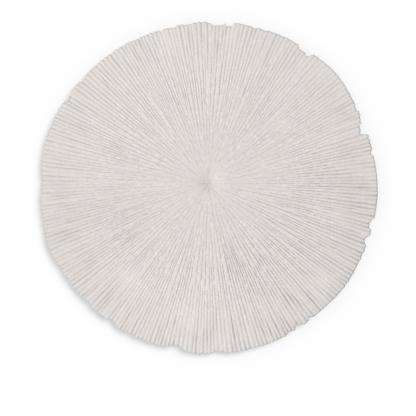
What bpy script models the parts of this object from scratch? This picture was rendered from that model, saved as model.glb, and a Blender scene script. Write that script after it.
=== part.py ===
"""A sand dollar: one thin, chalky disc, modelled as a single closed solid.

Fine rounded ribs fan out from a dimple near the middle, the mouth, to a worn and chipped rim.
Wherever a rib gets wide, a new groove opens in it and runs straight out, so the ribs stay equally fine.
The disc lies on the flat middle of its underside. +Z is up, and z = 0 is what it rests on.
"""

import math
import random

import bmesh
import bpy

MM = 0.001

# The outline, as distances from the mouth, which lies a little off the outline's middle
RIM_RADIUS = 60.42 * MM
MOUTH_SHIFT_X = -0.14 * MM
MOUTH_SHIFT_Y = 1.0 * MM

# Broad lobes of the outline: azimuth and half-width in degrees, height in mm
LOBES = [
    (20, 9, -0.35),
    (41, 9, 0.80),
    (73, 8, -0.40),
    (104, 24, -1.55),
    (133, 12, -0.60),
    (164, 8, 0.45),
    (179, 4, -0.75),
    (202, 7, 1.10),
    (254, 20, -0.45),
    (311, 7, -0.25),
    (323, 8, 0.30),
    (355, 10, 0.40),
]

# Chips out of the rim: start, bottom start, bottom end and end in degrees, depth in mm
CHIPS = [
    (9.4, 10.2, 10.8, 11.8, 0.75),
    (17.2, 18.0, 18.8, 20.0, 2.45),
    (18.8, 19.4, 21.2, 21.8, 1.70),
    (21.2, 22.0, 22.6, 24.4, 0.75),
    (25.6, 26.4, 27.2, 28.6, 0.45),
    (51.0, 52.2, 52.9, 53.9, 2.15),
    (51.4, 52.8, 55.8, 57.2, 1.15),
    (69.0, 69.8, 70.4, 71.4, 0.35),
    (72.2, 73.0, 73.8, 75.0, 0.45),
    (80.6, 81.4, 83.6, 84.4, 1.65),
    (83.8, 84.8, 88.2, 91.0, 1.40),
    (95.4, 96.2, 97.0, 100.0, 0.30),
    (101.2, 102.0, 102.6, 103.8, 0.50),
    (106.0, 106.8, 107.4, 108.6, 0.50),
    (115.2, 116.0, 116.6, 117.8, 0.35),
    (137.8, 139.0, 141.0, 142.2, 0.80),
    (146.4, 148.4, 149.0, 150.4, 1.35),
    (151.2, 152.0, 152.6, 153.6, 0.40),
    (208.8, 209.6, 210.2, 211.0, 0.45),
    (223.0, 223.8, 225.4, 226.4, 0.50),
    (232.6, 233.8, 235.6, 236.6, 0.80),
    (241.2, 242.2, 243.0, 244.0, 0.35),
    (254.5, 258.0, 260.0, 262.2, 1.75),
    (271.0, 272.4, 275.0, 276.4, 0.90),
    (297.4, 298.6, 299.2, 300.4, 0.85),
    (300.8, 301.8, 302.4, 304.0, 1.75),
    (306.0, 306.8, 307.4, 308.4, 0.80),
    (338.4, 340.0, 341.2, 342.0, 1.25),
    (344.2, 345.0, 347.4, 348.2, 1.30),
]
CHIP_REACH = 0.10  # share of the radius over which a chip fades out towards the mouth

# Arcs that are worn smooth, where the ribs' ends hardly stand out: azimuth, half-width and share lost
SMOOTH_ARCS = [(0, 9, 0.75), (44, 8, 0.8), (66, 9, 0.6), (190, 24, 0.5), (318, 16, 0.65)]

# Heights over the table
CROWN_HEIGHT = 7.85 * MM
RIM_TOP = 3.7 * MM
RIM_UNDER = 1.2 * MM
RIM_ROUNDING = 0.5 * MM
BASE_SHARE = 0.50  # share of the radius that is flat underneath

# The mouth: a short slit, a little beside the middle of a wider funnel
PIT_DEPTH = 1.3 * MM
PIT_HALF_LENGTH = 3.6 * MM
PIT_HALF_WIDTH = 2.9 * MM
PIT_X = 0.8 * MM
PIT_Y = 1.1 * MM
PIT_TURN = 108  # azimuth that the slit points to, in degrees
FUNNEL_DEPTH = 0.6 * MM
FUNNEL_RADIUS = 6.5 * MM

# The ribs and the grooves between them
RIB_COUNT = 248
FIRST_RIBS = 12
SPLIT_ROUNDS = (8, 4, 2, 1)  # of how many grooves at the rim one has opened after each round
RIBS_DONE_SHARE = 0.74  # share of the radius by which every groove has started
RIB_WIDTH_SPREAD = 0.22
RIB_DEPTH_AT_RIM = 0.44 * MM
RIB_DEPTH_AT_MOUTH = 0.12 * MM
RIB_DEPTH_FULL_SHARE = 0.60  # share of the radius where the grooves reach their full depth
RIB_TIP_REACH = 0.32 * MM  # how far a rib's end stands out past the grooves beside it
RIB_TIP_SPREAD = 0.22 * MM
SEED = 41

# Rings of points on the top, as shares of the radius
TOP_RINGS = [0.03, 0.065, 0.12, 0.20, 0.32, 0.45, 0.58, 0.72, 0.86]
UNDER_RING = 0.86
UNDER_POINTS = 124
BASE_POINTS = 62


def smooth_step(value, low, high):
    """0 below low, 1 above high, and an S-curve between."""
    share = min(1.0, max(0.0, (value - low) / (high - low)))
    return share * share * (3 - 2 * share)


def hump(azimuth, centre, half_width):
    """1 at the centre azimuth, fading to 0 on both sides."""
    turn = (azimuth - centre + 180) % 360 - 180
    return math.exp(-((turn / half_width) ** 2))


def chip_depth(azimuth):
    """How deep the chips cut into the rim at this azimuth, in degrees."""
    azimuth = azimuth % 360
    depth = 0.0
    for start, bottom_start, bottom_end, end, most in CHIPS:
        if start < azimuth < end:
            rise = (azimuth - start) / (bottom_start - start)
            fall = (end - azimuth) / (end - bottom_end)
            depth = max(depth, most * MM * min(1.0, rise, fall))
    return depth


def outline_distance(azimuth, share):
    """Distance from the mouth to the point at this azimuth, at a share of the way to the rim."""
    angle = math.radians(azimuth)
    whole = RIM_RADIUS - MOUTH_SHIFT_X * math.cos(angle) - MOUTH_SHIFT_Y * math.sin(angle)
    for centre, half_width, height in LOBES:
        whole += height * MM * hump(azimuth, centre, half_width)
    return share * whole - chip_depth(azimuth) * smooth_step(share, 1 - CHIP_REACH, 1.0)


def teeth_left(azimuth):
    """How much of their reach the ribs' ends keep at this azimuth: less on the worn arcs."""
    return 1 - sum(share * hump(azimuth, centre, half_width) for centre, half_width, share in SMOOTH_ARCS)


def top_height(share):
    """Height of the domed top, without its ribs and its mouth, at a share of the way to the rim."""
    dome = 0.5 * (1 - share**2) + 0.5 * math.cos(share * math.pi / 2) ** 2
    return RIM_TOP + (CROWN_HEIGHT - RIM_TOP) * dome


def mouth_depth(azimuth, distance):
    """How far the mouth sinks below the dome at this point."""
    east = distance * math.cos(math.radians(azimuth)) - PIT_X
    north = distance * math.sin(math.radians(azimuth)) - PIT_Y
    turn = math.radians(PIT_TURN)
    lengthwise = (east * math.cos(turn) + north * math.sin(turn)) / PIT_HALF_LENGTH
    crosswise = (north * math.cos(turn) - east * math.sin(turn)) / PIT_HALF_WIDTH
    pit = PIT_DEPTH * math.exp(-(lengthwise**2) - crosswise**2)
    return pit + FUNNEL_DEPTH * math.exp(-((distance / FUNNEL_RADIUS) ** 2))


def under_height(share):
    """Height of the underside: flat in the middle, lifting towards the rim."""
    lift = max(0.0, (share - BASE_SHARE) / (1 - BASE_SHARE))
    return RIM_UNDER * lift**2


def rib_depth(share):
    """How far the crests stand over the grooves at a share of the way to the rim."""
    grown = smooth_step(share, 0.0, RIB_DEPTH_FULL_SHARE)
    return RIB_DEPTH_AT_MOUTH + (RIB_DEPTH_AT_RIM - RIB_DEPTH_AT_MOUTH) * grown


def start_radius(age):
    """Where the groove of this age starts. The S-curve of the grooves sown so far, read backwards."""
    sown_before = max(age + 1 - FIRST_RIBS, 0) / (RIB_COUNT - FIRST_RIBS)
    return RIBS_DONE_SHARE * RIM_RADIUS * (0.5 - math.sin(math.asin(1 - 2 * sown_before) / 3))


def sow_grooves():
    """Round the disc: each groove's azimuth and start, and how far the rib after it stands out."""
    dice = random.Random(SEED)
    by_age = [0]  # the oldest, so that every ring starts with it
    for every in SPLIT_ROUNDS:
        opening = [order for order in range(0, RIB_COUNT, every) if order not in by_age]
        dice.shuffle(opening)
        by_age += opening
    starts = [0.0] * RIB_COUNT
    for age, order in enumerate(by_age):
        starts[order] = start_radius(age)
    widths = [1 + RIB_WIDTH_SPREAD * dice.uniform(-1, 1) for _ in range(RIB_COUNT)]
    tips = [RIB_TIP_SPREAD * dice.uniform(-1, 1) for _ in range(RIB_COUNT)]
    azimuths = [sum(widths[:order]) * 360 / sum(widths) for order in range(RIB_COUNT)]
    return azimuths, starts, tips


class Disc:
    """The disc's mesh while it is built, ring by ring."""

    def __init__(self):
        self.mesh = bmesh.new()
        self.azimuths, self.starts, self.tips = sow_grooves()

    def point(self, azimuth, distance, height):
        """A vertex at this azimuth, in degrees, and distance from the mouth."""
        angle = math.radians(azimuth)
        return self.mesh.verts.new((distance * math.cos(angle), distance * math.sin(angle), height))

    def rib_ring(self, share, level, relief=0.0, inset=0.0):
        """A closed row of azimuths and vertices: each open groove, then the crest after it.

        The relief is how far a crest stands over a groove. The inset moves the ring in from the outline.
        """
        opened = [order for order in range(RIB_COUNT) if self.starts[order] <= share * RIM_RADIUS]
        out = smooth_step(share, 1 - CHIP_REACH, 1.0)
        row = []
        for place, order in enumerate(opened):
            groove = self.azimuths[order]
            if place + 1 < len(opened):
                crest = (groove + self.azimuths[opened[place + 1]]) / 2
            else:
                crest = (groove + self.azimuths[opened[0]] + 360) / 2
            back = -RIB_TIP_REACH / 2 * out * teeth_left(groove)
            ahead = (RIB_TIP_REACH / 2 + self.tips[order]) * out * teeth_left(crest)
            for azimuth, reach, side in ((groove, back, -0.5), (crest, ahead, 0.5)):
                distance = outline_distance(azimuth, share) + reach - inset
                height = level + relief * side - mouth_depth(azimuth, distance)
                row.append((azimuth, self.point(azimuth, distance, height)))
        return opened, [*row, (row[0][0] + 360, row[0][1])]

    def plain_ring(self, count, share):
        """A ring of evenly spaced vertices on the underside."""
        ring = []
        for step in range(count):
            azimuth = 360 * step / count
            ring.append(self.point(azimuth, outline_distance(azimuth, share), under_height(share)))
        return ring

    def join_rib_rings(self, inner, outer):
        """Faces between two rings of ribs. Where a groove has just opened, the outer one has more points."""
        places = {order: 2 * place for place, order in enumerate(outer[0])}
        starts = [places[order] for order in inner[0]] + [len(outer[1]) - 1]
        for place in range(len(inner[0])):
            near = inner[1][2 * place : 2 * place + 3]
            far = outer[1][starts[place] : starts[place + 1] + 1]
            if len(far) == 3:
                for step in range(2):
                    self.face(near[step][1], far[step][1], far[step + 1][1], near[step + 1][1])
            else:
                self.stitch(near, far)

    def stitch(self, near, far):
        """Triangles between two rows that start and end together, always on to the next point round."""
        here = there = 0
        while here < len(near) - 1 or there < len(far) - 1:
            at_end = here == len(near) - 1
            if at_end or (there < len(far) - 1 and far[there + 1][0] <= near[here + 1][0]):
                self.face(near[here][1], far[there][1], far[there + 1][1])
                there += 1
            else:
                self.face(near[here][1], far[there][1], near[here + 1][1])
                here += 1

    def join_plain_rings(self, wide, narrow):
        """Faces from a ring to one with fewer vertices, inside it on the underside."""
        every = len(wide) // len(narrow)
        for step, near in enumerate(narrow):
            following = narrow[(step + 1) % len(narrow)]
            fan = [wide[(step * every + k) % len(wide)] for k in range(every + 1)]
            for k in range(every):
                self.face(near, fan[k + 1], fan[k])
            self.face(near, following, fan[-1])

    def face(self, *corners):
        """A face through the corners."""
        self.mesh.faces.new(corners)


def build_top(disc):
    """The ribbed, domed top, from the bottom of the mouth out to the rim's shoulder."""
    centre = disc.point(0, 0, top_height(0) - mouth_depth(0, 0))
    ring = disc.rib_ring(TOP_RINGS[0], top_height(TOP_RINGS[0]), rib_depth(TOP_RINGS[0]))
    for (_, vertex), (_, following) in zip(ring[1], ring[1][1:]):
        disc.face(centre, vertex, following)
    for share in TOP_RINGS[1:]:
        outer = disc.rib_ring(share, top_height(share), rib_depth(share))
        disc.join_rib_rings(ring, outer)
        ring = outer
    return ring


def build_rim(disc, top_ring):
    """The rounded rim, with the ribs' ends standing out all the way down. Returns its lowest ring."""
    shoulder = disc.rib_ring(1.0, RIM_TOP, RIB_DEPTH_AT_RIM, RIM_ROUNDING)
    upper = disc.rib_ring(1.0, RIM_TOP - RIM_ROUNDING)
    lower = disc.rib_ring(1.0, RIM_UNDER + RIM_ROUNDING)
    heel = disc.rib_ring(1.0, RIM_UNDER, inset=RIM_ROUNDING)
    for inner, outer in ((top_ring, shoulder), (shoulder, upper), (upper, lower), (lower, heel)):
        disc.join_rib_rings(inner, outer)
    return [vertex for _, vertex in heel[1][:-1]]


def build_underside(disc, heel):
    """The plain underside, from the rim in to the flat base."""
    outer = disc.plain_ring(UNDER_POINTS, UNDER_RING)
    base = disc.plain_ring(BASE_POINTS, BASE_SHARE)
    disc.join_plain_rings(heel, outer)
    disc.join_plain_rings(outer, base)
    disc.face(*reversed(base))


def centre_on_origin(mesh):
    """Moves the disc so that the middle of its box is over the origin."""
    for axis in (0, 1):
        values = [vertex.co[axis] for vertex in mesh.verts]
        middle = (min(values) + max(values)) / 2
        for vertex in mesh.verts:
            vertex.co[axis] -= middle


def chalk():
    """The dry, matt, off-white skeleton."""
    material = bpy.data.materials.new("chalk")
    material.use_nodes = True
    shader = material.node_tree.nodes["Principled BSDF"]
    shader.inputs["Base Color"].default_value = (0.70, 0.66, 0.64, 1.0)
    shader.inputs["Roughness"].default_value = 0.9
    shader.inputs["Metallic"].default_value = 0.0
    return material


def build():
    """Clears the scene, and makes the sand dollar."""
    for old in list(bpy.data.objects):
        bpy.data.objects.remove(old)
    disc = Disc()
    heel = build_rim(disc, build_top(disc))
    build_underside(disc, heel)
    bmesh.ops.recalc_face_normals(disc.mesh, faces=disc.mesh.faces)
    centre_on_origin(disc.mesh)
    mesh = bpy.data.meshes.new("sand_dollar")
    disc.mesh.to_mesh(mesh)
    disc.mesh.free()
    mesh.materials.append(chalk())
    mesh.shade_smooth()
    mesh.set_sharp_from_angle(angle=math.radians(60))
    bpy.context.scene.collection.objects.link(bpy.data.objects.new("sand_dollar", mesh))


build()
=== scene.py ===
# %% [markdown]
# # A ribbed sand dollar
#
# The object is one thin, dry, chalky disc. Some 250 fine ribs fan out from a dimple, the mouth, to a
# worn and chipped rim. It lies on a table, and the camera looks straight down on it.
#
# A disc like this could be carved with a displacement texture on a round grid. The grid's lines would
# then cut across the ribs, and each rib would turn jagged. Here the mesh grows the way the real ribs do:
# ring by ring from the mouth, with columns of points that run along every rib. Where a rib gets wide, a
# new groove opens in it. The crests stay crisp, and no point is wasted.

import math
import random

import bpy
import numpy as np
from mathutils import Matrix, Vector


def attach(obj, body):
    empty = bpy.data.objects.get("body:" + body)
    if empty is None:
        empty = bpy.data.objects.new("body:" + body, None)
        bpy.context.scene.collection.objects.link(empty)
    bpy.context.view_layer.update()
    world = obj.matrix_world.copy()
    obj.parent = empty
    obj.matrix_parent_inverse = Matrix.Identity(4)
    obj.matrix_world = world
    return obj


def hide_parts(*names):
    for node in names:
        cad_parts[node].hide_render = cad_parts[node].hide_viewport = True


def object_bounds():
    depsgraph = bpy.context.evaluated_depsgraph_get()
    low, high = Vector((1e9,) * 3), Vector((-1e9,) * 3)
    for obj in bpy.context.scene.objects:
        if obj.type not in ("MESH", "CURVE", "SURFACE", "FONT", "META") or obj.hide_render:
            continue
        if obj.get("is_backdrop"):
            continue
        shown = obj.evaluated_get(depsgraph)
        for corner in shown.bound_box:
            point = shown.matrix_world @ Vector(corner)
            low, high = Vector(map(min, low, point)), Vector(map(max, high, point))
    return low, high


MM = 0.001

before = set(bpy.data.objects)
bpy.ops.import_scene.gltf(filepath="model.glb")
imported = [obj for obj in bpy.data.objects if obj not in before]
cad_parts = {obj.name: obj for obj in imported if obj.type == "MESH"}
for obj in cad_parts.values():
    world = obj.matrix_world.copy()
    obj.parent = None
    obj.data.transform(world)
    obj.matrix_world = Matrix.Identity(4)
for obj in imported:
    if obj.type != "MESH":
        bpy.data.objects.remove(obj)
cad_low, cad_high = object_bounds()
print("the disc's box, mm:", [round(1000 * (high - low), 1) for low, high in zip(cad_low, cad_high)])

# %% [markdown]
# ## The outline
#
# The real rim is nearly round. It swells and sinks in broad lobes, and here and there a few rib ends
# have broken off. A traced outline would hide that logic in a long list of points. Instead, the distance
# from the mouth to the rim is worked out from three layers: a circle that is a little off centre, a few
# smooth lobes, and the chips, each with a start, a flat bottom and an end.

# %% The outline's layers
RIM_RADIUS = 60.4 * MM
MOUTH_SHIFT_X = -0.14 * MM
MOUTH_SHIFT_Y = 1.0 * MM

# Azimuth and half-width in degrees, height in mm
LOBES = [
    (20, 9, -0.35),
    (41, 9, 0.80),
    (73, 8, -0.40),
    (104, 24, -1.55),
    (133, 12, -0.60),
    (164, 8, 0.45),
    (179, 4, -0.75),
    (202, 7, 1.10),
    (254, 20, -0.45),
    (311, 7, -0.25),
    (323, 8, 0.30),
    (355, 10, 0.40),
]

# Start, bottom start, bottom end and end in degrees, depth in mm
CHIPS = [
    (9.4, 10.2, 10.8, 11.8, 0.75),
    (17.2, 18.0, 18.8, 20.0, 2.45),
    (18.8, 19.4, 21.2, 21.8, 1.70),
    (21.2, 22.0, 22.6, 24.4, 0.75),
    (25.6, 26.4, 27.2, 28.6, 0.45),
    (51.0, 52.2, 52.9, 53.9, 2.15),
    (51.4, 52.8, 55.8, 57.2, 1.15),
    (69.0, 69.8, 70.4, 71.4, 0.35),
    (72.2, 73.0, 73.8, 75.0, 0.45),
    (80.6, 81.4, 83.6, 84.4, 1.65),
    (83.8, 84.8, 88.2, 91.0, 1.40),
    (95.4, 96.2, 97.0, 100.0, 0.30),
    (101.2, 102.0, 102.6, 103.8, 0.50),
    (106.0, 106.8, 107.4, 108.6, 0.50),
    (115.2, 116.0, 116.6, 117.8, 0.35),
    (137.8, 139.0, 141.0, 142.2, 0.80),
    (146.4, 148.4, 149.0, 150.4, 1.35),
    (151.2, 152.0, 152.6, 153.6, 0.40),
    (208.8, 209.6, 210.2, 211.0, 0.45),
    (223.0, 223.8, 225.4, 226.4, 0.50),
    (232.6, 233.8, 235.6, 236.6, 0.80),
    (241.2, 242.2, 243.0, 244.0, 0.35),
    (254.5, 258.0, 260.0, 262.2, 1.75),
    (271.0, 272.4, 275.0, 276.4, 0.90),
    (297.4, 298.6, 299.2, 300.4, 0.85),
    (300.8, 301.8, 302.4, 304.0, 1.75),
    (306.0, 306.8, 307.4, 308.4, 0.80),
    (338.4, 340.0, 341.2, 342.0, 1.25),
    (344.2, 345.0, 347.4, 348.2, 1.30),
]
CHIP_REACH = 0.10  # share of the radius over which a chip fades out towards the mouth

# Arcs that are worn smooth, where the ribs' ends hardly stand out: azimuth, half-width and share lost
SMOOTH_ARCS = [(0, 9, 0.75), (44, 8, 0.8), (66, 9, 0.6), (190, 24, 0.5), (318, 16, 0.65)]


def smooth_step(value, low, high):
    """0 below low, 1 above high, and an S-curve between."""
    share = np.clip((value - low) / (high - low), 0.0, 1.0)
    return share * share * (3 - 2 * share)


def between(inside, outside, share):
    """The inside value at share 0, the outside value at share 1, and a straight blend between them."""
    return inside * (1 - share) + outside * share


def hump(azimuth, centre, half_width):
    """1 at the centre azimuth, fading to 0 on both sides."""
    turn = (azimuth - centre + 180) % 360 - 180
    return np.exp(-((turn / half_width) ** 2))


def chip_depth(azimuth):
    """How deep the chips cut into the rim, in metres."""
    azimuth = azimuth % 360
    depth = np.zeros_like(azimuth)
    for start, bottom_start, bottom_end, end, most in CHIPS:
        rise = (azimuth - start) / (bottom_start - start)
        fall = (end - azimuth) / (end - bottom_end)
        depth = np.maximum(depth, most * MM * np.clip(np.minimum(rise, fall), 0, 1))
    return depth


def outline_distance(azimuth, share):
    """Distance from the mouth, at a share of the way to the rim."""
    angle = np.radians(azimuth)
    whole = RIM_RADIUS - MOUTH_SHIFT_X * np.cos(angle) - MOUTH_SHIFT_Y * np.sin(angle)
    for centre, half_width, height in LOBES:
        whole = whole + height * MM * hump(azimuth, centre, half_width)
    return share * whole - chip_depth(azimuth) * smooth_step(share, 1 - CHIP_REACH, 1.0)


def arc_sum(arcs, azimuth):
    """The strengths of these arcs added up at each azimuth. Each arc fades out on both sides."""
    return sum(strength * hump(azimuth, centre, half_width) for centre, half_width, strength in arcs)


rim = outline_distance(np.arange(360.0), 1.0) / MM
print(f"rim {rim.min():.1f} to {rim.max():.1f} mm from the mouth, with {len(CHIPS)} chips")

# %% [markdown]
# ## Where the grooves start
#
# A growing disc keeps its ribs equally fine: wherever a rib gets wide, a new groove opens in its middle
# and makes two of it. Every groove runs straight out from where it starts. So every eighth groove is the
# oldest, the ones halfway between come next, and so on until each rib has been split three times. Within
# a round the dice say which is next. Few grooves start near the mouth and most of them halfway out, which
# an S-curve gives.

# %% Sow the grooves
RIB_COUNT = 248
FIRST_RIBS = 12
SPLIT_ROUNDS = (8, 4, 2, 1)  # of how many grooves at the rim one has opened after each round
RIBS_DONE_SHARE = 0.74  # share of the radius by which every groove has started
RIB_WIDTH_SPREAD = 0.22
RIB_TIP_SPREAD = 0.22 * MM
SEED = 41


def start_radius(age):
    """Where the groove of this age starts. The S-curve of the grooves sown so far, read backwards."""
    sown_before = max(age + 1 - FIRST_RIBS, 0) / (RIB_COUNT - FIRST_RIBS)
    return RIBS_DONE_SHARE * RIM_RADIUS * (0.5 - math.sin(math.asin(1 - 2 * sown_before) / 3))


def sow_grooves():
    """Each groove's azimuth and start, and how far the rib after it stands out at the rim."""
    dice = random.Random(SEED)
    by_age = [0]  # the oldest, so that every ring starts with it
    for every in SPLIT_ROUNDS:
        opening = [order for order in range(0, RIB_COUNT, every) if order not in by_age]
        dice.shuffle(opening)
        by_age += opening
    starts = np.zeros(RIB_COUNT)
    for age, order in enumerate(by_age):
        starts[order] = start_radius(age)
    widths = np.array([1 + RIB_WIDTH_SPREAD * dice.uniform(-1, 1) for _ in range(RIB_COUNT)])
    tips = np.array([RIB_TIP_SPREAD * dice.uniform(-1, 1) for _ in range(RIB_COUNT)])
    azimuths = (np.cumsum(widths) - widths) * 360 / widths.sum()
    return azimuths, starts, tips


GROOVE_AZIMUTHS, GROOVE_STARTS, RIB_TIPS = sow_grooves()
for share in (0.1, 0.3, 0.6, 1.0):
    print(np.count_nonzero(GROOVE_STARTS <= share * RIM_RADIUS), "ribs at", share, "of the radius")

# %% [markdown]
# ## How the grooves differ
#
# Seen close, no two grooves are alike. Some are deep from end to end and some hardly show, their depth
# swells and fades along the way, and tiny bridges cross them, so that a groove reads as a row of dark
# dashes and bright beads. A noise texture could not tell neighbouring grooves apart. So each groove gets
# its own rows of seeded random values, one for each kind of change, with knots as far apart as that
# change is long.

# %% Seeded values along each groove and rib
KNOT_SPACINGS = {
    "swell": 5.0 * MM,
    "dash": 2.2 * MM,
    "bridge": 0.8 * MM,
    "wander": 4.0 * MM,
    "stand": 9.0 * MM,
    "left": 1.1 * MM,
    "right": 1.1 * MM,
    "tone": 11.0 * MM,
}
noise_source = np.random.default_rng(SEED)
NOISES = {}
for kind, spacing in KNOT_SPACINGS.items():
    NOISES[kind] = noise_source.random((RIB_COUNT, int(RIM_RADIUS / spacing) + 2))
OWN_DEPTH = noise_source.random(RIB_COUNT)


def along(kind, orders, radius):
    """The random value, 0 to 1, of each of these grooves or ribs at this radius, blended between knots."""
    place = radius / KNOT_SPACINGS[kind]
    knot = int(place)
    values = NOISES[kind]
    onwards = float(smooth_step(place - knot, 0.0, 1.0))
    return between(values[orders, knot], values[orders, knot + 1], onwards)


print(", ".join(f"{kind} every {spacing / MM:.1f} mm" for kind, spacing in KNOT_SPACINGS.items()))

# %% [markdown]
# ## Patches
#
# Wear isn't even. Here the grooves are deep and dark, there they are filled with sediment or crossed by
# many tiny bridges, and some arcs are rubbed smooth. A painted mask could say where. A short list says it
# too, and it can be read and changed: each patch has a middle, a width both ways and a strength, and it
# fades out on all sides.

# %% Patches of deep, filled and beaded grooves
# Azimuth, share of the radius, half-width in degrees, half-width in share, strength
DEEP_PATCHES = [
    (6, 0.66, 12, 0.12, 0.9),
    (350, 0.68, 8, 0.08, 0.7),
    (334, 0.82, 3, 0.03, 1.0),
    (322, 0.57, 12, 0.12, 0.4),
    (303, 0.50, 7, 0.12, 0.7),
    (285, 0.48, 10, 0.12, 0.5),
    (262, 0.56, 12, 0.16, 0.4),
    (245, 0.47, 8, 0.12, 0.5),
    (213, 0.57, 6, 0.07, 1.0),
    (203, 0.83, 4, 0.04, 0.9),
    (158, 0.60, 6, 0.07, 0.6),
    (128, 0.50, 8, 0.08, 0.5),
    (104, 0.55, 7, 0.06, 0.4),
    (62, 0.60, 8, 0.09, 0.5),
    (46, 0.60, 5, 0.09, 0.6),
]
FILLED_PATCHES = [
    (39, 0.55, 5, 0.06, 0.9),
    (128, 0.38, 5, 0.06, 0.5),
    (230, 0.72, 6, 0.09, 0.7),
    (320, 0.88, 4, 0.06, 0.8),
    (296, 0.84, 4, 0.06, 0.5),
    (346, 0.79, 3, 0.04, 0.6),
    (15, 0.34, 16, 0.07, 0.5),
    (175, 0.60, 8, 0.07, 0.4),
    (75, 0.60, 4, 0.10, 0.4),
]
BEADED_PATCHES = [
    (8, 0.58, 16, 0.22, 1.0),
    (345, 0.66, 10, 0.14, 0.9),
    (305, 0.56, 16, 0.18, 0.9),
    (272, 0.56, 16, 0.24, 0.9),
    (240, 0.58, 12, 0.16, 0.7),
    (205, 0.62, 12, 0.20, 1.0),
    (178, 0.60, 12, 0.24, 0.7),
    (150, 0.60, 10, 0.14, 0.5),
]
# The same, but the strength is how much lighter or darker the surface is. Most are the disc's own tone;
# some are painted light and shade.
LIGHTER_PATCHES_AND_PAINTED_LIGHT = [
    # Painted light: the top and bottom of the disc, where the ribs catch more light.
    (105, 0.75, 36, 0.35, 0.045),
    (258, 0.80, 26, 0.25, 0.040),
    (40, 0.56, 4, 0.05, 0.040),
    (350, 0.25, 14, 0.08, 0.030),
    (231, 0.71, 5, 0.06, 0.040),
    (252, 0.80, 4, 0.05, 0.045),
    (280, 0.76, 4, 0.05, 0.045),
    (321, 0.88, 3, 0.04, 0.025),
    (128, 0.41, 6, 0.06, 0.030),
    (154, 0.65, 5, 0.06, 0.030),
]
DARKER_PATCHES_AND_PAINTED_SHADE = [
    (0, 0.14, 720, 0.22, 0.040),
    # Painted shade on the dome's left flank.
    (194, 0.62, 26, 0.42, 0.055),
    # Painted shade: the right flank and the lower right edge, where the rib ends turn away from the light.
    (345, 0.90, 22, 0.20, 0.035),
    (325, 0.99, 32, 0.04, 0.080),
    (213, 0.57, 5, 0.06, 0.080),
    (203, 0.83, 3, 0.04, 0.060),
    (0, 0.73, 6, 0.06, 0.040),
    (334, 0.82, 2, 0.03, 0.100),
    (287, 0.45, 7, 0.08, 0.020),
    (104, 0.55, 6, 0.06, 0.030),
    (66, 0.62, 6, 0.07, 0.030),
    (158, 0.60, 5, 0.06, 0.030),
]
# Arcs where the grooves are deeper or, below 0, worn shallower: azimuth, half-width and strength
GROOVE_ARCS = [
    (48, 30, -0.20),
    (100, 36, -0.14),
    (152, 18, -0.08),
    (184, 14, -0.26),
    (268, 18, -0.12),
    (303, 20, 0.20),
    (354, 18, 0.12),
]


def patch_strength(patches, azimuth, share):
    """The strongest of these patches at each azimuth."""
    found = np.zeros_like(azimuth)
    for centre, middle_share, half_width, half_share, strength in patches:
        near = math.exp(-(((share - middle_share) / half_share) ** 2))
        found = np.maximum(found, strength * near * hump(azimuth, centre, half_width))
    return found


print("patches:", len(DEEP_PATCHES), "deep,", len(FILLED_PATCHES), "filled,", len(BEADED_PATCHES), "beaded")

# %% How deep each groove is cut
OUTER_FROM = 0.70  # share of the radius where the thin inner grooves begin to widen
OUTER_TO = 0.88
GROOVE_OPENING = 3.2 * MM  # the way over which a new groove gets its depth
DASH_DEPTH = 0.60  # what a dash in a deep patch adds
BEADING = 0.25  # how much more often bridges come in a beaded patch
BRIDGE_FILL = 0.75  # share of the depth that a bridge takes
SEDIMENT_FILL = 0.8
SWELL_OUTSIDE = 0.75
DEEPEST = 1.5


def groove_strength(orders, azimuth, share):
    """How deep each groove is cut at this share of the radius: 0 is filled, 1 is the usual depth."""
    radius = share * RIM_RADIUS
    own = OWN_DEPTH[orders]
    swell = along("swell", orders, radius)
    deep = patch_strength(DEEP_PATCHES, azimuth, share)
    beaded = patch_strength(BEADED_PATCHES, azimuth, share)
    filled = patch_strength(FILLED_PATCHES, azimuth, share)
    inner = between(0.52, 0.79, own) * between(0.76, 1.12, swell)
    inner += DASH_DEPTH * deep * smooth_step(along("dash", orders, radius), 0.50, 0.75)
    inner *= 1 - BRIDGE_FILL * smooth_step(along("bridge", orders, radius) + BEADING * beaded, 0.95, 1.0)
    outer = between(0.56, 0.96, own) + SWELL_OUTSIDE * (swell - 0.5)
    cut = np.minimum(DEEPEST, between(inner, outer, smooth_step(share, OUTER_FROM, OUTER_TO)))
    opened = smooth_step(radius - GROOVE_STARTS[orders], -0.25 * GROOVE_OPENING, GROOVE_OPENING)
    left = (1 - SEDIMENT_FILL * filled) * (1 + arc_sum(GROOVE_ARCS, azimuth))
    return cut * left * opened


for share in (0.3, 0.6, 0.9):
    strengths = groove_strength(np.arange(RIB_COUNT), GROOVE_AZIMUTHS, share)
    print(f"mean strength of all the grooves at {share} of the radius: {strengths.mean():.2f}")

# %% [markdown]
# ## Heights
#
# From the side the disc is a low dome, thickest near the mouth. The mouth is a short slit in a wider
# funnel. The underside is flat in the middle, where it rests, and lifts towards the rim. Except at the
# mouth, each height depends only on how far out a point lies, so short formulas give the whole section.

# %% The section through the disc
CROWN_HEIGHT = 7.8 * MM
RIM_TOP = 3.7 * MM
RIM_UNDER = 1.2 * MM
RIM_ROUNDING = 0.5 * MM
BASE_SHARE = 0.50
PIT_DEPTH = 1.3 * MM
PIT_HALF_LENGTH = 3.6 * MM
PIT_HALF_WIDTH = 2.9 * MM
PIT_X = 0.8 * MM
PIT_Y = 1.1 * MM
PIT_TURN = 108  # azimuth that the slit points to, in degrees
FUNNEL_DEPTH = 0.6 * MM
FUNNEL_RADIUS = 6.5 * MM
MOUTH_ROUGHNESS = 0.19 * MM
MOUTH_ROUGH_RADIUS = 1.8 * MM  # where it is roughest
RIB_DEPTH_AT_RIM = 0.35 * MM
RIB_DEPTH_AT_MOUTH = 0.09 * MM
RIB_DEPTH_FULL_SHARE = 0.60


def top_height(share):
    """Height of the domed top, without its ribs and its mouth."""
    dome = 0.5 * (1 - share**2) + 0.5 * math.cos(share * math.pi / 2) ** 2
    return RIM_TOP + (CROWN_HEIGHT - RIM_TOP) * dome


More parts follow.
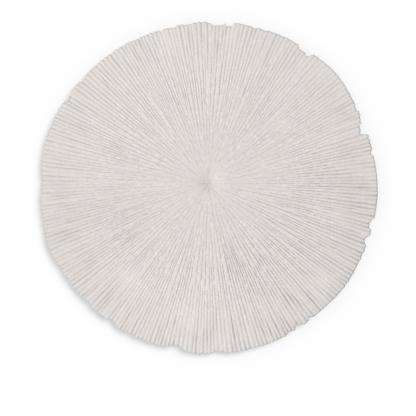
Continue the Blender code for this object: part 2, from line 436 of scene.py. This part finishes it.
def mouth_depth(azimuth, distance):
    """How far the mouth sinks below the dome at these points. The slit lies a little beside the middle."""
    east = distance * np.cos(np.radians(azimuth)) - PIT_X
    north = distance * np.sin(np.radians(azimuth)) - PIT_Y
    turn = math.radians(PIT_TURN)
    lengthwise = (east * math.cos(turn) + north * math.sin(turn)) / PIT_HALF_LENGTH
    crosswise = (north * math.cos(turn) - east * math.sin(turn)) / PIT_HALF_WIDTH
    pit = PIT_DEPTH * np.exp(-(lengthwise**2) - crosswise**2)
    return pit + FUNNEL_DEPTH * np.exp(-((distance / FUNNEL_RADIUS) ** 2))


def mouth_roughness(radius):
    """How far the mouth's rough points may lie apart in height. It is smooth again in the very middle."""
    inwards = radius / MOUTH_ROUGH_RADIUS
    return MOUTH_ROUGHNESS * inwards * math.exp((1 - inwards**2) / 2)


def under_height(share):
    """Height of the underside."""
    lift = max(0.0, (share - BASE_SHARE) / (1 - BASE_SHARE))
    return RIM_UNDER * lift**2


def rib_depth(share):
    """How far the crests stand over the grooves."""
    grown = float(smooth_step(share, 0.0, RIB_DEPTH_FULL_SHARE))
    return between(RIB_DEPTH_AT_MOUTH, RIB_DEPTH_AT_RIM, grown)


for share in (0.2, 0.6, 1.0):
    print(f"top {top_height(share) / MM:.2f} mm, underside {under_height(share) / MM:.2f} mm at {share}")

# %% [markdown]
# ## One ring of ribs
#
# Cut across, a rib is a nearly flat band with a thin, steep groove on each side. Five points draw it: one
# in the groove, a shoulder, two on the crest and a shoulder. Near the rim the shoulders sink, and the rib
# turns rounder. The same five points, ring after ring, run along the rib. Each point also keeps how deep
# in a groove it lies and how light its rib is, which the finish uses later.

# %% Add points to the mesh
points = []
hollows = []
tones_and_painted_light = []


def add_points(azimuth, distance, height, hollow, tone=0.0):
    """Adds points given by azimuth and distance from the mouth, and returns their numbers."""
    angle = np.radians(azimuth)
    first = len(points)
    grid = np.stack([distance * np.cos(angle), distance * np.sin(angle), height], axis=-1)
    points.extend(grid.reshape(-1, 3).tolist())
    hollows.extend(np.broadcast_to(hollow, azimuth.shape).ravel().tolist())
    tones_and_painted_light.extend(np.broadcast_to(tone, azimuth.shape).ravel().tolist())
    return np.arange(first, len(points)).reshape(azimuth.shape)


# %% Five points across a rib
RIB_POINTS = 5
GROOVE_HALF_WIDTH_INSIDE = 0.12 * MM
GROOVE_HALF_WIDTH_OUTSIDE = 0.31 * MM
CREST_PLACES = (0.38, 0.62)
SHOULDER_INSIDE = 0.93  # share of the rib's depth at which its shoulders stand
SHOULDER_OUTSIDE = 0.58
CREST_STAND = 0.18  # share of the depth by which whole ribs stand higher or lower
CREST_BUMPS_INSIDE = 0.32
CREST_BUMPS_OUTSIDE = 0.75


def places_across(width, rounder):
    """Where the five points lie, as shares of each rib's width."""
    half_groove = between(GROOVE_HALF_WIDTH_INSIDE, GROOVE_HALF_WIDTH_OUTSIDE, rounder)
    shoulder = np.clip(half_groove / width, 0.03, 0.28)
    crest_start, crest_end = (place * np.ones_like(width) for place in CREST_PLACES)
    return np.stack([np.zeros_like(width), shoulder, crest_start, crest_end, 1 - shoulder], axis=1)


def share_below_crest(rounder):
    """How far the five points lie below the crest, as shares of the rib's depth."""
    shoulder = 1 - between(SHOULDER_INSIDE, SHOULDER_OUTSIDE, rounder)
    return np.array([1.0, shoulder, 0.0, 0.0, shoulder])


def crest_unevenness(orders, radius, rounder):
    """How far each rib's points stand above or below the usual crest, as shares of the rib's depth."""
    uneven = CREST_STAND * (along("stand", orders, radius)[:, None] - 0.5) * np.ones(RIB_POINTS)
    bumps = between(CREST_BUMPS_INSIDE, CREST_BUMPS_OUTSIDE, rounder)
    uneven[:, 1:3] += bumps * (along("left", orders, radius)[:, None] - 0.5)
    uneven[:, 3:5] += bumps * (along("right", orders, radius)[:, None] - 0.5)
    return uneven


print("points across two ribs, 0.7 and 1.5 mm wide, as shares of the width:")
print(places_across(np.array([0.7, 1.5]) * MM, 0.0).round(2).tolist())

# %% How light each rib is
STREAKS = 0.06  # difference in lightness between the darkest and the lightest rib
STREAK_RIBS = 3


def rib_tone_and_painted_light(orders, azimuth, share):
    """How much lighter or darker each point is: alike for ribs that lie side by side, and patchy, with
    painted light and shade in some patches.
    """
    radius = share * RIM_RADIUS
    near = [along("tone", (orders + step) % RIB_COUNT, radius) for step in range(STREAK_RIBS)]
    patches = patch_strength(LIGHTER_PATCHES_AND_PAINTED_LIGHT, azimuth, share) - patch_strength(DARKER_PATCHES_AND_PAINTED_SHADE, azimuth, share)
    return patches + STREAKS * (np.mean(near, axis=0) - 0.5)[:, None]


# %% A ring over all the ribs
RIB_TIP_REACH = 0.32 * MM
GROOVE_WANDER = 0.20 * MM
WANDER_FULL_RADIUS = 25 * MM
HOLLOW_ACROSS = np.array([1.0, 0.15, 0.0, 0.0, 0.15])  # how much of the groove's dust and painted shade the five points get
# Arcs where painted shade darkens the rim's edge most, turned away from the light: azimuth, half-width and
# strength
RIM_SHADE_ARCS = [(20, 45, 0.5), (326, 34, 0.6)]
RIM_SHADE_ELSEWHERE = 0.45  # share of the painted shade that the other arcs have
mouth_dice = np.random.default_rng(SEED + 2)


def rib_ring(share, level, relief, inset=0.0, painted_rim_shade=0.0):
    """A ring of points over every rib. Returns the ribs' orders, azimuths and point numbers."""
    radius = share * RIM_RADIUS
    orders = np.flatnonzero(GROOVE_STARTS <= radius)
    rounder = float(smooth_step(share, OUTER_FROM, OUTER_TO))
    unrest = float(smooth_step(share, 0.02, 0.2) * (1 - smooth_step(share, 0.95, 1.0)))

    # Azimuths: the grooves wander a little to both sides
    wander = GROOVE_WANDER * unrest * (along("wander", orders, radius) - 0.5)
    low = GROOVE_AZIMUTHS[orders] + np.degrees(wander / max(radius, WANDER_FULL_RADIUS))
    high = np.append(low[1:], low[0] + 360)
    across = places_across(np.radians(high - low) * radius, rounder)
    azimuth = low[:, None] + (high - low)[:, None] * across

    # Distances: near the rim each rib's middle reaches out as a tooth
    tips = float(smooth_step(share, 1 - CHIP_REACH, 1.0)) * (1 - arc_sum(SMOOTH_ARCS, azimuth))
    reach = (RIB_TIP_REACH + RIB_TIPS[orders][:, None]) * np.sin(np.pi * across) - RIB_TIP_REACH / 2
    distance = outline_distance(azimuth, share) + tips * reach - inset

    # Heights: the last two points belong to the groove on the rib's far side
    strength = groove_strength(orders, low % 360, share)
    depth = np.repeat(strength[:, None], RIB_POINTS, axis=1)
    depth[:, 3:] = np.roll(strength, -1)[:, None]
    below = share_below_crest(rounder)
    uneven = crest_unevenness(orders, radius, rounder) * unrest
    height = level + relief * (0.5 + uneven * (1 - below) - depth * below) - mouth_depth(azimuth, distance)
    height = height + mouth_roughness(radius) * (mouth_dice.random(azimuth.shape) - 0.5)

    # Dust and painted shade: the grooves grey as deep as they are cut, and the rim's edge gets painted
    # shade, most where it is turned away from the light.
    hollow = depth * HOLLOW_ACROSS * relief / RIB_DEPTH_AT_RIM
    hollow = hollow + painted_rim_shade * (RIM_SHADE_ELSEWHERE + arc_sum(RIM_SHADE_ARCS, azimuth))
    return orders, azimuth, add_points(azimuth, distance, height, hollow, rib_tone_and_painted_light(orders, azimuth, share))


# %% [markdown]
# ## Joining the rings
#
# Between two rings, most ribs are in both, and each gets a strip of four-sided faces. Where a groove has
# just opened, the outer ring has more points than the inner one, and the gap is stitched with triangles,
# always on to whichever point comes next round the disc. That keeps the mesh closed.

# %% Join two rings of ribs
faces = []


def stitch(near, near_azimuths, far, far_azimuths):
    """Triangles between two rows of points that start and end together."""
    here = there = 0
    while here < len(near) - 1 or there < len(far) - 1:
        at_end = here == len(near) - 1
        if at_end or (there < len(far) - 1 and far_azimuths[there + 1] <= near_azimuths[here + 1]):
            faces.append((near[here], far[there], far[there + 1]))
            there += 1
        else:
            faces.append((near[here], far[there], near[here + 1]))
            here += 1


def closed_row(azimuths, numbers):
    """A ring's azimuths and point numbers in one row each, with its first point again at the end."""
    azimuths, numbers = azimuths.ravel().tolist(), numbers.ravel().tolist()
    return [*azimuths, azimuths[0] + 360], [*numbers, numbers[0]]


def join_rib_rings(inner, outer):
    """Faces between two rings of ribs, counter-clockwise as seen from outside."""
    near_azimuths, near = closed_row(*inner[1:])
    far_azimuths, far = closed_row(*outer[1:])
    columns = inner[2].shape[1]
    place_of = {order: columns * place for place, order in enumerate(outer[0])}
    starts = [place_of[order] for order in inner[0]] + [len(far) - 1]
    for place in range(len(inner[0])):
        a = columns * place
        b, end = starts[place], starts[place + 1]
        if end - b == columns:
            for step in range(columns):
                faces.append((near[a + step], far[b + step], far[b + step + 1], near[a + step + 1]))
        else:
            ends = a + columns + 1, end + 1
            stitch(near[a:ends[0]], near_azimuths[a:ends[0]], far[b:ends[1]], far_azimuths[b:ends[1]])


# %% The ribbed top
FIRST_SHARE = 0.008
FINE_STEP = 0.54 * MM
COARSE_STEP = 0.78 * MM
FINE_SHARE = 0.80  # share of the radius up to which the rings are close together
MIDDLE_HOLLOW = 0.2

middle_height = top_height(0) - mouth_depth(np.zeros(1), np.zeros(1))
middle = add_points(np.zeros(1), np.zeros(1), middle_height, MIDDLE_HOLLOW).tolist()[0]
share = FIRST_SHARE
ring = rib_ring(share, top_height(share), rib_depth(share))
_, first_row = closed_row(*ring[1:])
for number, following in zip(first_row, first_row[1:]):
    faces.append((middle, number, following))
last_share = 1 - COARSE_STEP / RIM_RADIUS
while share < last_share - 0.001:
    step = FINE_STEP if share < FINE_SHARE else COARSE_STEP
    share = min(share + step / RIM_RADIUS, last_share)
    outer = rib_ring(share, top_height(share), rib_depth(share))
    join_rib_rings(ring, outer)
    ring = outer
print(len(points), "points and", len(faces), "faces on the top")

# %% [markdown]
# ## The rim
#
# The ribs don't stop at the edge. Each one bends over it and ends as a small rounded tooth. The rim is
# therefore made of the same rings as the top. They only step down and inwards round a quarter circle,
# twice, and the ridges flatten as the teeth take over. Its side is painted greyer as shade, most on the
# right, which is turned away from the light.

# %% Round the rim
ROUND_STEPS = 4
RIM_PAINTED_SHADE = 2.2


def rim_rings():
    """Height, inset, share of the ribs' relief that is left and painted shade, from the shoulder to the
    heel.
    """
    turns = [math.pi / 2 * step / (ROUND_STEPS - 1) for step in range(ROUND_STEPS)]
    rows = []
    for sine, cosine in ((math.sin(turn), math.cos(turn)) for turn in turns):
        height = RIM_TOP - RIM_ROUNDING * (1 - cosine)
        rows.append((height, RIM_ROUNDING * (1 - sine), cosine, RIM_PAINTED_SHADE * sine))
    for sine, cosine in ((math.sin(turn), math.cos(turn)) for turn in turns):
        height = RIM_UNDER + RIM_ROUNDING * (1 - sine)
        rows.append((height, RIM_ROUNDING * (1 - cosine), 0.0, RIM_PAINTED_SHADE))
    return rows


for height, inset, relief_left, painted_rim_shade in rim_rings():
    outer = rib_ring(1.0, height, RIB_DEPTH_AT_RIM * relief_left, inset, painted_rim_shade)
    join_rib_rings(ring, outer)
    ring = outer
wide_azimuths, wide = closed_row(*ring[1:])
print(len(wide) - 1, "points round the heel of the rim")

# %% [markdown]
# ## The underside
#
# Nobody sees the underside in the photo, but the disc can be picked up. On such discs the ribs carry on
# underneath as much lower ridges, and die out before the flat middle, which has a small rough scar
# where the young disc was once attached. Two points a rib are enough for such low ridges.

# %% Low ridges
UNDER_DEPTH = 0.22 * MM
UNDER_DEPTH_FULL_SHARE = 0.9
UNDER_STEP = 0.04
UNDER_DUST = 0.3
RIDGES_PAST_LIFT = 0.05  # how far the last ring of ridges lies inside the lifted part, as a share

rib_middles = (GROOVE_AZIMUTHS + np.append(GROOVE_AZIMUTHS[1:], 360)) / 2
ridge_azimuths = np.stack([GROOVE_AZIMUTHS, rib_middles], axis=1)
under_share = 1 - UNDER_STEP
while under_share > BASE_SHARE - RIDGES_PAST_LIFT:
    ridge_depth = UNDER_DEPTH * float(smooth_step(under_share, BASE_SHARE, UNDER_DEPTH_FULL_SHARE))
    ridges = np.broadcast_to([ridge_depth, 0.0], ridge_azimuths.shape)
    distance = outline_distance(ridge_azimuths, under_share)
    # As on the top, the underside's grooves grey by depth: dust and painted shade.
    hollow = ridges / RIB_DEPTH_AT_RIM + UNDER_DUST
    numbers = add_points(ridge_azimuths, distance, under_height(under_share) + ridges, hollow)
    narrow_azimuths, narrow = closed_row(ridge_azimuths, numbers)
    stitch(wide, wide_azimuths, narrow, narrow_azimuths)
    wide_azimuths, wide = narrow_azimuths, narrow
    under_share -= UNDER_STEP
print("the ridges end", round(distance.mean() / MM, 1), "mm from the mouth")

# %% The flat middle and its scar
SCAR_RADIUS = 6.5 * MM
SCAR_EDGE = 0.6 * MM
SCAR_DEPTH = 0.45 * MM
SCAR_ROUGHNESS = 0.25 * MM
SCAR_RAGGEDNESS = 0.05  # share of the radius
SCAR_DUST = 0.3
# Radius in mm and number of points of the rings inside the ridges
BASE_RINGS = [(20, 124), (12, 124), (8.2, 62), (6.8, 62), (5.6, 62), (4.4, 62), (3.0, 31), (1.5, 31)]
scar_dice = np.random.default_rng(SEED + 1)

for under_radius, count in BASE_RINGS:
    turns = np.arange(count) * 360 / count
    scarred = float(smooth_step(SCAR_RADIUS - under_radius * MM, -SCAR_EDGE, SCAR_EDGE))
    height = scarred * (SCAR_DEPTH - SCAR_ROUGHNESS * scar_dice.random(count))
    distance = under_radius * MM * (1 + SCAR_RAGGEDNESS * scarred * (scar_dice.random(count) - 0.5))
    numbers = add_points(turns, distance, height, UNDER_DUST + SCAR_DUST * scarred)
    narrow_azimuths, narrow = closed_row(turns, numbers)
    stitch(wide, wide_azimuths, narrow, narrow_azimuths)
    wide_azimuths, wide = narrow_azimuths, narrow
faces.append(tuple(reversed(wide[:-1])))
print(len(points), "points and", len(faces), "faces in all")

# %% [markdown]
# ## One closed mesh
#
# The points so far are measured from the mouth, which isn't the middle of the disc. The whole mesh is
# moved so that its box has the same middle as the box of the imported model. The depth in the grooves and
# the lightness of the ribs travel with the mesh as two attributes.

# %% Make the disc
mesh = bpy.data.meshes.new("ribbed_disc")
places = np.array(points)
box_middle = (places.min(axis=0) + places.max(axis=0)) / 2
mouth_x = (cad_low.x + cad_high.x) / 2 - box_middle[0]
mouth_y = (cad_low.y + cad_high.y) / 2 - box_middle[1]
places[:, 0] += mouth_x
places[:, 1] += mouth_y
mesh.from_pydata(places.tolist(), [], faces)
for name, values in (("hollow", hollows), ("tone", tones_and_painted_light)):
    mesh.attributes.new(name, "FLOAT", "POINT").data.foreach_set("value", values)
mesh.shade_smooth()
disc = bpy.data.objects.new("ribbed_disc", mesh)
bpy.context.scene.collection.objects.link(disc)
mesh.calc_loop_triangles()
print("the disc has", len(mesh.loop_triangles), "triangles")

# %% [markdown]
# ## The chalky finish
#
# The real surface is bare mineral: dry, matt and slightly grainy. Its off-white is nearly the same
# everywhere, with small mauve specks and a few bright crystals, and dust has greyed the grooves. Painted
# shade greys the grooves and the rim's edge further, the crystals' glints are painted, and some tone
# patches are painted light and shade. It could be painted as an image, but then it would blur up close.
# Blender's noise textures stay sharp at any distance. A high roughness and almost no gloss on the
# Principled shader make it chalk, and each thing that changes its colour gets a few nodes of its own.
# These helpers keep them short.

# %% Helpers for the finish


def add_node(tree, kind, **settings):
    """A node with these settings. A name that the node doesn't have is an input's name."""
    node = tree.nodes.new(kind)
    for name, value in settings.items():
        if hasattr(node, name):
            setattr(node, name, value)
        else:
            node.inputs[name.replace("_", " ")].default_value = value
    return node


def add_noise(tree, size, detail=3.0, roughness=0.5):
    """Noise in the object's own coordinates, with features of about this size."""
    noise = add_node(tree, "ShaderNodeTexNoise", Scale=1 / size, Detail=detail, Roughness=roughness)
    place = add_node(tree, "ShaderNodeTexCoord")
    tree.links.new(place.outputs["Object"], noise.inputs["Vector"])
    return noise.outputs["Fac"]


def add_range(tree, source, low, high, to_low, to_high):
    """Stretches a value from one range to another."""
    node = add_node(tree, "ShaderNodeMapRange")
    for name, value in (("From Min", low), ("From Max", high), ("To Min", to_low), ("To Max", to_high)):
        node.inputs[name].default_value = value
    tree.links.new(source, node.inputs["Value"])
    return node.outputs["Result"]


def feed(tree, socket, value):
    """Sets an input to a plain value, or links it to another node's output."""
    if isinstance(value, bpy.types.NodeSocket):
        tree.links.new(value, socket)
    else:
        socket.default_value = value


def add_math(tree, operation, *values):
    """A calculation. Each value is a number or another node's output."""
    node = add_node(tree, "ShaderNodeMath", operation=operation)
    for socket, value in zip(node.inputs, values):
        feed(tree, socket, value)
    return node.outputs[0]


def add_mix(tree, factor, first, second, blend="MIX"):
    """Mixes two colours. Each is a colour or another node's output."""
    node = add_node(tree, "ShaderNodeMix", data_type="RGBA", blend_type=blend)
    for place, value in ((0, factor), (6, first), (7, second)):
        feed(tree, node.inputs[place], value)
    return node.outputs[2]


# %% [markdown]
# ## Streaks along the ribs
#
# The ribs of the real disc are themselves made of fine fibres that run outwards, too fine for the mesh.
# Plain noise has no direction. Here it is read by azimuth and by distance from the mouth instead of by x
# and y, which draws it out into streaks. One layer would be too fine at the mouth and too coarse at the
# rim, so there are three, and each fades into the next.

# %% Fine streaks
# Streaks round half the disc, and the distances in mm where they start, are full, start to fade and end
STREAK_LAYERS = [(60, 0, 4, 9, 15), (120, 8, 14, 20, 30), (240, 16, 26, 36, 52)]
STREAK_LENGTH = 2.0 * MM


def add_streaks(tree):
    """Noise drawn out along the ribs, around 0."""
    place = add_node(tree, "ShaderNodeTexCoord")
    parts = add_node(tree, "ShaderNodeSeparateXYZ")
    tree.links.new(place.outputs["Object"], parts.inputs[0])
    east = add_math(tree, "SUBTRACT", parts.outputs[0], float(mouth_x))
    north = add_math(tree, "SUBTRACT", parts.outputs[1], float(mouth_y))
    squared = add_math(tree, "MULTIPLY_ADD", east, east, add_math(tree, "MULTIPLY", north, north))
    distance = add_math(tree, "SQRT", squared)
    turn = add_math(tree, "ARCTAN2", north, east)
    streaks = 0.0
    for count, start, full, fading, end in STREAK_LAYERS:
        across = add_node(tree, "ShaderNodeCombineXYZ")
        feed(tree, across.inputs[0], add_math(tree, "MULTIPLY", turn, count / math.pi))
        feed(tree, across.inputs[1], add_math(tree, "DIVIDE", distance, STREAK_LENGTH))
        noise = add_node(tree, "ShaderNodeTexNoise", Scale=1.0, Detail=1.0, Roughness=0.5)
        tree.links.new(across.outputs[0], noise.inputs["Vector"])
        growing = add_range(tree, distance, start * MM, full * MM, 0.0, 1.0)
        dying = add_range(tree, distance, fading * MM, end * MM, 1.0, 0.0)
        weight = add_math(tree, "MULTIPLY", growing, dying)
        centred = add_math(tree, "SUBTRACT", noise.outputs["Fac"], 0.5)
        streaks = add_math(tree, "MULTIPLY_ADD", centred, weight, streaks)
    return streaks


# %% [markdown]
# ## Colour, dust, painted shade and grain
#
# The colour is built up in layers. First comes the mineral's off-white with its mauve flecks. The tone
# attribute and the streaks make it lighter or darker along the ribs, and fine noise speckles it. Some of
# the tone is painted light and shade. Then dust and painted shade grey the grooves, as deep as the hollow
# attribute says, painted shade greys the rim's edge, and a few crystals with painted glints shine through
# it. Last, a small bump gives the grain that is too fine for the mesh.

# %% The mineral's off-white
CHALK_WHITE = (0.716, 0.679, 0.653, 1.0)
MAUVE = (0.691, 0.652, 0.642, 1.0)
PATCH_SIZE = 16 * MM
FLECK_SIZE = 1.3 * MM
SPECKLE_SIZE = 0.5 * MM
STREAK_LIGHTNESS = 0.35


def chalk_colour(tree, streaks):
    """Off-white with mauve flecks in patches, toned along the ribs and speckled. The tone holds some
    painted light and shade.
    """
    patches = add_range(tree, add_noise(tree, PATCH_SIZE), 0.45, 0.60, 0.2, 1.0)
    flecks = add_range(tree, add_noise(tree, FLECK_SIZE, 2.0), 0.58, 0.66, 0.0, 1.0)
    white = add_mix(tree, add_math(tree, "MULTIPLY", patches, flecks), CHALK_WHITE, MAUVE)
    speckle = add_range(tree, add_noise(tree, SPECKLE_SIZE, 4.0, 0.6), 0.3, 0.7, 0.91, 1.075)
    # The tone attribute: the ribs' own tone, with painted light and shade in some patches.
    tone = add_node(tree, "ShaderNodeAttribute", attribute_name="tone")
    ribbed = add_math(tree, "MULTIPLY_ADD", streaks, STREAK_LIGHTNESS, tone.outputs["Fac"])
    lightness = add_math(tree, "MULTIPLY", speckle, add_math(tree, "ADD", ribbed, 1.0))
    return add_mix(tree, 1.0, white, lightness, "MULTIPLY")


# %% Dust, painted shade and crystal glints
DUST_AND_SHADE_GREY = (0.31, 0.292, 0.281, 1.0)
FULL_DUST_AND_SHADE = 2.2  # the hollow attribute's value where only the grey of dust and painted shade shows
CRYSTAL_GLINT_WHITE = (0.83, 0.80, 0.78, 1.0)
CRYSTAL_GLINT_SIZE = 0.9 * MM


def add_dust_and_shade(tree, chalk):
    """Greys the grooves with dust and painted shade and the rim's edge with painted shade, and leaves a few
    bright crystals with painted glints.
    """
    hollow = add_node(tree, "ShaderNodeAttribute", attribute_name="hollow")
    dust_and_shade_share = add_range(tree, hollow.outputs["Fac"], 0.0, FULL_DUST_AND_SHADE, 0.0, 1.0)
    dusted_and_shaded = add_mix(tree, dust_and_shade_share, chalk, DUST_AND_SHADE_GREY)
    # Painted glints: a few bright crystal specks.
    crystal_glints = add_range(tree, add_noise(tree, CRYSTAL_GLINT_SIZE, 0.0), 0.78, 0.84, 0.0, 0.6)
    return add_mix(tree, crystal_glints, dusted_and_shaded, CRYSTAL_GLINT_WHITE)


# %% The finish
GRAIN_SIZE = 0.22 * MM
GRAIN_HEIGHT = 0.08 * MM
STREAK_RELIEF = 1.2
CHALK_ROUGHNESS = 0.9
CHALK_GLOSS = 0.25


def make_chalk():
    """Dry, matt, grainy off-white, greyer in the grooves."""
    material = bpy.data.materials.new("chalk")
    material.use_nodes = True
    tree = material.node_tree
    shader = tree.nodes["Principled BSDF"]
    streaks = add_streaks(tree)
    tree.links.new(add_dust_and_shade(tree, chalk_colour(tree, streaks)), shader.inputs["Base Color"])
    bump = add_node(tree, "ShaderNodeBump", Strength=0.5, Distance=GRAIN_HEIGHT)
    grain = add_noise(tree, GRAIN_SIZE, 5.0, 0.65)
    tree.links.new(add_math(tree, "MULTIPLY_ADD", streaks, STREAK_RELIEF, grain), bump.inputs["Height"])
    tree.links.new(bump.outputs["Normal"], shader.inputs["Normal"])
    shader.inputs["Roughness"].default_value = CHALK_ROUGHNESS
    shader.inputs["Specular IOR Level"].default_value = CHALK_GLOSS
    return material


disc.data.materials.append(make_chalk())
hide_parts("sand_dollar")
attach(disc, "root")
print("the finish has", len(disc.data.materials[0].node_tree.nodes), "nodes")

# %% [markdown]
# ## Table and light
#
# In the photo the disc lies on plain white. Its ribs are lit softly from the left, and yet its short
# soft shadow lies to the lower left too. One lamp can't do both, so there are three: a key lamp from the
# left that lights only the disc, a lamp from the upper right that lights only the table, where it leaves
# the shadow, and one from straight above that keeps the table white. A bright sky fills the rest.

# %% The table
TABLE_HALF = 3.0
TABLE_GAP = 0.05 * MM
TABLE_GREY = (0.354, 0.354, 0.354, 1.0)  # the lamps turn it white
TABLE_ROUGHNESS = 0.9


def make_table():
    """A plain pale floor, a hair below the disc."""
    plane = bpy.data.meshes.new("table")
    corners = [(-1, -1), (1, -1), (1, 1), (-1, 1)]
    places = [(TABLE_HALF * x, TABLE_HALF * y, -TABLE_GAP) for x, y in corners]
    plane.from_pydata(places, [], [(0, 1, 2, 3)])
    material = bpy.data.materials.new("table_white")
    material.use_nodes = True
    shader = material.node_tree.nodes["Principled BSDF"]
    shader.inputs["Base Color"].default_value = TABLE_GREY
    shader.inputs["Roughness"].default_value = TABLE_ROUGHNESS
    plane.materials.append(material)
    table = bpy.data.objects.new("table", plane)
    bpy.context.scene.collection.objects.link(table)
    table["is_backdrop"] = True
    return table


table = make_table()
print("the table is", 2 * TABLE_HALF, "m wide")

# %% The sky
SKY_WHITE = (1.0, 1.0, 1.0, 1.0)
SKY_STRENGTH = 0.84

world = bpy.data.worlds.new("sky")
world.use_nodes = True
world.node_tree.nodes["Background"].inputs["Color"].default_value = SKY_WHITE
world.node_tree.nodes["Background"].inputs["Strength"].default_value = SKY_STRENGTH
bpy.context.scene.world = world


# %% The lamps
def add_sun(name, azimuth, elevation, strength, softness, thing):
    """A distant lamp that shines from this azimuth and elevation, in degrees, on this thing alone."""
    lamp = bpy.data.objects.new(name, bpy.data.lights.new(name, "SUN"))
    lamp.data.energy = strength
    lamp.data.angle = math.radians(softness)
    lamp.rotation_euler = (0.0, math.radians(90 - elevation), math.radians(azimuth))
    bpy.context.scene.collection.objects.link(lamp)
    chosen = bpy.data.collections.new(name + "_lights")
    chosen.objects.link(thing)
    lamp.light_linking.receiver_collection = chosen
    print(f"{name} shines from azimuth {azimuth}, {elevation} degrees up, on the {thing.name}")


add_sun("key_lamp", 198, 40, 1.10, 14, disc)
add_sun("shadow_lamp", 39, 57, 3.00, 32, table)
add_sun("table_lamp", 0, 90, 3.44, 12, table)

# %% [markdown]
# ## The camera
#
# The photo looks straight down, and the disc's upper edge isn't any smaller than its lower one. A long
# lens from high above gives that. The camera's height follows from the lens and from how wide a strip of
# table the photo shows.

# %% Look straight down
PIXELS = 416
PIXEL_SIZE = 0.3593 * MM
DISC_MIDDLE = (209.5, 187.7)  # in pixels from the left and from the top
LENS = 90  # mm
SENSOR = 36  # mm
NEAREST_SEEN = 10 * MM

camera = bpy.data.objects.new("camera", bpy.data.cameras.new("camera"))
camera.data.lens = LENS
camera.data.sensor_width = SENSOR
camera.data.clip_start = NEAREST_SEEN
camera.location = (
    (PIXELS / 2 - DISC_MIDDLE[0]) * PIXEL_SIZE,
    (DISC_MIDDLE[1] - PIXELS / 2) * PIXEL_SIZE,
    RIM_TOP + PIXELS * PIXEL_SIZE * LENS / SENSOR,
)
bpy.context.scene.collection.objects.link(camera)
bpy.context.scene.camera = camera
bpy.context.scene.view_settings.view_transform = "Standard"
print("the camera hangs", round(camera.location.z, 3), "m above the table")

# %% How much room the disc leaves inside the model's box
low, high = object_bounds()
room = [*(low - cad_low), *(cad_high - high)]
print("room left to the packed box, mm:", [round(gap / MM, 3) for gap in room])
